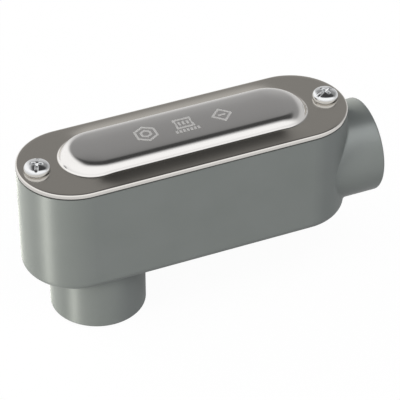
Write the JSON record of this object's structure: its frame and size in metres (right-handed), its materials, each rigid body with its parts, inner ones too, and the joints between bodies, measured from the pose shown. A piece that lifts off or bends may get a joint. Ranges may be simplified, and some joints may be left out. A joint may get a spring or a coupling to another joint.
{
  "type": "conduit body",
  "caption": "Cast elbow conduit body with a threaded hub at its end and one at its back, and a stamped cover with a raised panel held by pan head screws.",
  "frame": {"origin": "centre of the back hub's mouth", "axes": "+Z out through the cover, along the back hub's axis; +X along the body, out of the end hub; the body is symmetric about the XZ plane"},
  "size_m": [0.1371, 0.041, 0.0689],
  "materials": {
    "grey_enamel": "satin grey enamel over a die-cast aluminium body",
    "gasket_rubber": "matt black sheet rubber",
    "cover_sheet": "bright rolled sheet",
    "plated_steel": "bright plated steel"
  },
  "bodies": {
    "casting": {"body_casting": "grey_enamel"},
    "cover": {"cover": "cover_sheet", "cover_gasket": "gasket_rubber"},
    "left_screw": {"cover_screw_left": "plated_steel"},
    "right_screw": {"cover_screw_right": "plated_steel"}
  },
  "joints": [
    {"name": "cover_lift", "type": "slide", "parent": "casting", "child": "cover", "axis": [0, 0, 1], "range_m": [0, 0.0127]},
    {"name": "left_screw_turn", "type": "hinge", "parent": "cover", "child": "left_screw", "pos_m": [-0.0213, 0, 0.0648], "axis": [0, 0, 1], "range_deg": [0, 4320]},
    {"name": "right_screw_turn", "type": "hinge", "parent": "cover", "child": "right_screw", "pos_m": [0.0917, 0, 0.0648], "axis": [0, 0, 1], "range_deg": [0, 4320]}
  ],
  "couplings": [
    {"joint": "left_screw_turn", "follows": "cover_lift", "rad_per_m": 5936.9},
    {"joint": "right_screw_turn", "follows": "cover_lift", "rad_per_m": 5936.9}
  ]
}
